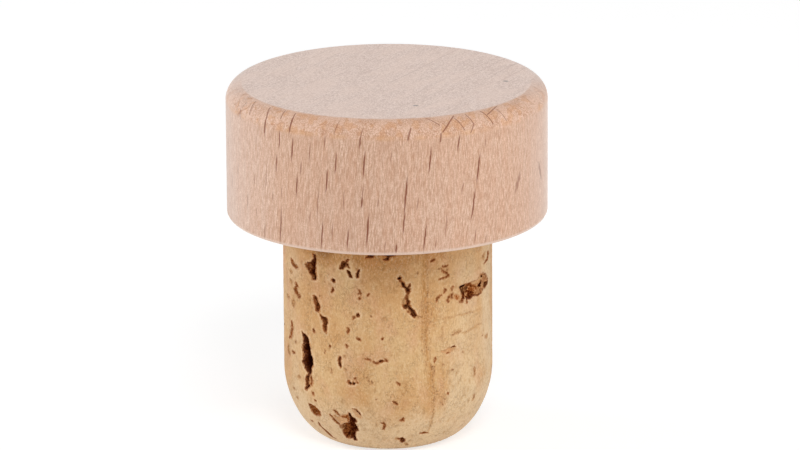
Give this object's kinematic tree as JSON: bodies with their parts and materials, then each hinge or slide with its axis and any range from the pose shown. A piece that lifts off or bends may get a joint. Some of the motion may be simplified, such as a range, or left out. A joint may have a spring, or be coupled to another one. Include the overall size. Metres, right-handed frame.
{
  "type": "wooden bottle stopper",
  "caption": "Turned beech cap with rounded edges on a natural cork shank with a rounded lower end, pressed by hand into a bottle's neck.",
  "frame": {"origin": "centre of the cap's underside, on the stopper's axis, where the cap rests on the bottle's lip", "axes": "+Z along the stopper's axis, out of the bottle, towards the top of the cap; -Y is the side that the picture shows"},
  "size_m": [0.03, 0.03, 0.0341],
  "materials": {
    "beech": "fine sanded, bare, pale pinkish beech with short dark rays",
    "natural_cork": "bare natural cork, tan, with dark brown pits and cracks"
  },
  "bodies": {
    "root": {"wooden_cap": "beech", "cork_shank": "natural_cork"}
  },
  "joints": []
}
